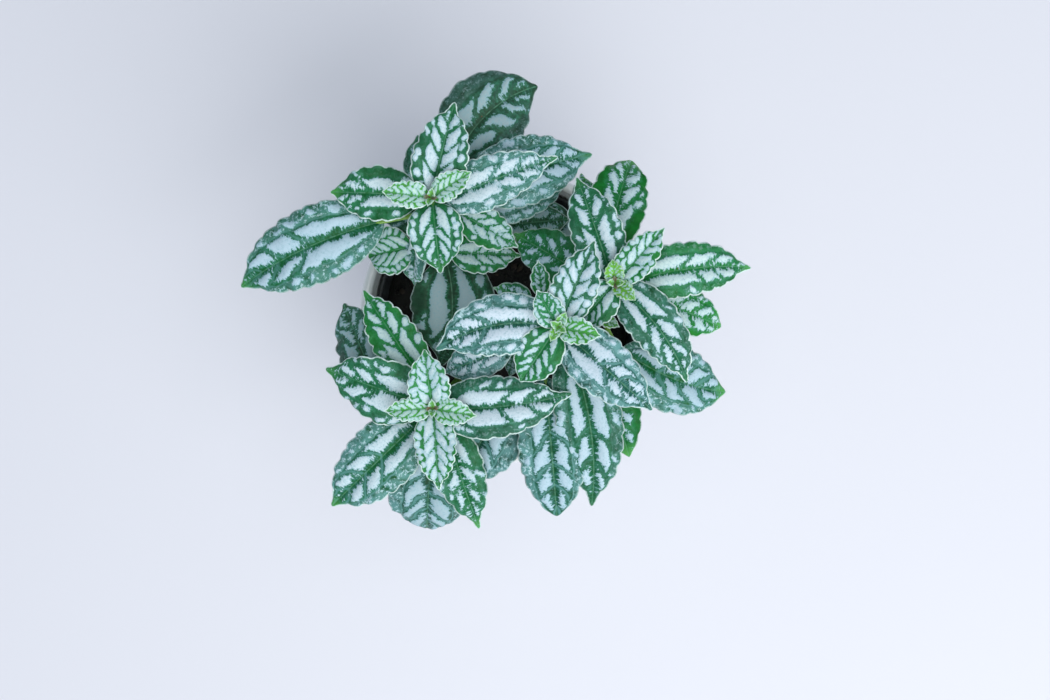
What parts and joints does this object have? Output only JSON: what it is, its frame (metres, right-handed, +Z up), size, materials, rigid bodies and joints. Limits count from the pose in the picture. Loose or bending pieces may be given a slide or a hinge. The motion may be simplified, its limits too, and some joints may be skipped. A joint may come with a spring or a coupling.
{
  "type": "potted aluminum plant",
  "caption": "Bushy foliage plant with toothed, silver-banded green leaves, rooted in a black nursery pot inside a plain white ceramic pot.",
  "frame": {"origin": "centre of the ceramic pot's foot, on the surface that it stands on", "axes": "+Z up along the pot's axis; seen from above, +X is the picture's right and +Y its top"},
  "size_m": [0.2027, 0.1852, 0.1896],
  "materials": {
    "glazed_white": "gloss",
    "black_plastic": "satin",
    "potting_soil": "matte",
    "leaf_green": "satin"
  },
  "bodies": {
    "root": {"ceramic_pot": "glazed_white", "nursery_pot": "black_plastic", "soil": "potting_soil", "leafy_stem_a": "leaf_green", "leafy_stem_b": "leaf_green", "leafy_stem_c": "leaf_green", "leafy_stem_d": "leaf_green"}
  },
  "joints": []
}
